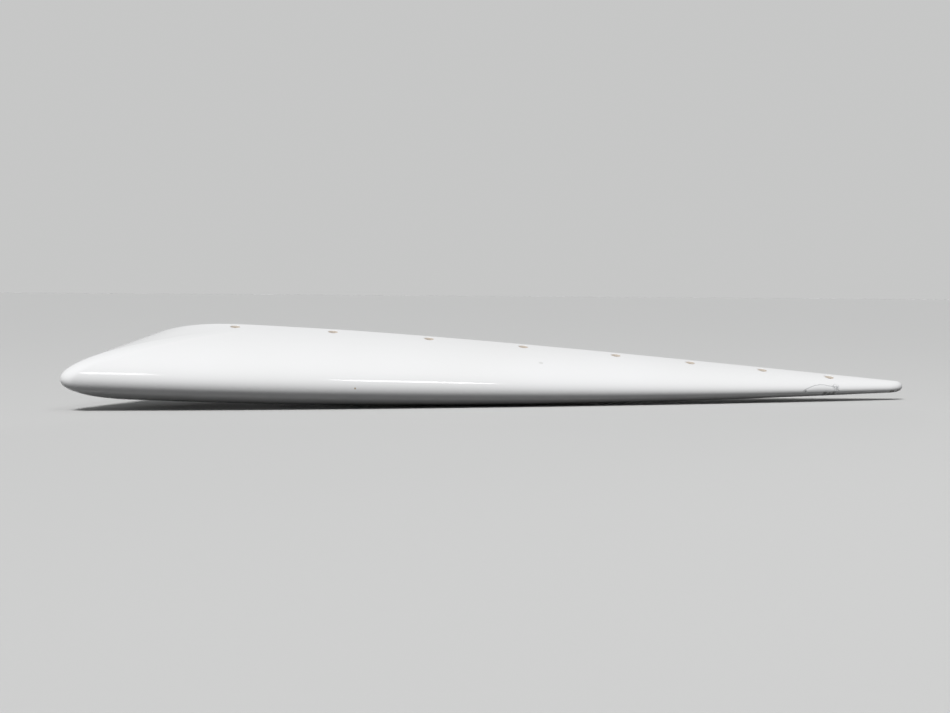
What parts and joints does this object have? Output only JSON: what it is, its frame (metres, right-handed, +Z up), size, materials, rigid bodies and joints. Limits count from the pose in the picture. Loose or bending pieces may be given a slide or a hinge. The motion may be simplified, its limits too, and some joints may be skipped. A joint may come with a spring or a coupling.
{
  "type": "elevator tip",
  "caption": "Hollow moulded tip fairing for an aircraft elevator: a long white tapering shell with a rounded nose, open along one edge, with countersunk screw holes.",
  "frame": {"origin": "on the plane of the trimmed mating face and the chord plane, at the foremost screw's station", "axes": "+X aft along the mating face, +Y inboard out of the open mating face, +Z up, square to the chord plane"},
  "size_m": [0.5817, 0.0813, 0.0456],
  "materials": {
    "white_paint": "gloss white enamel over glass-fibre laminate"
  },
  "bodies": {
    "root": {"tip_shell": "white_paint"}
  },
  "joints": []
}
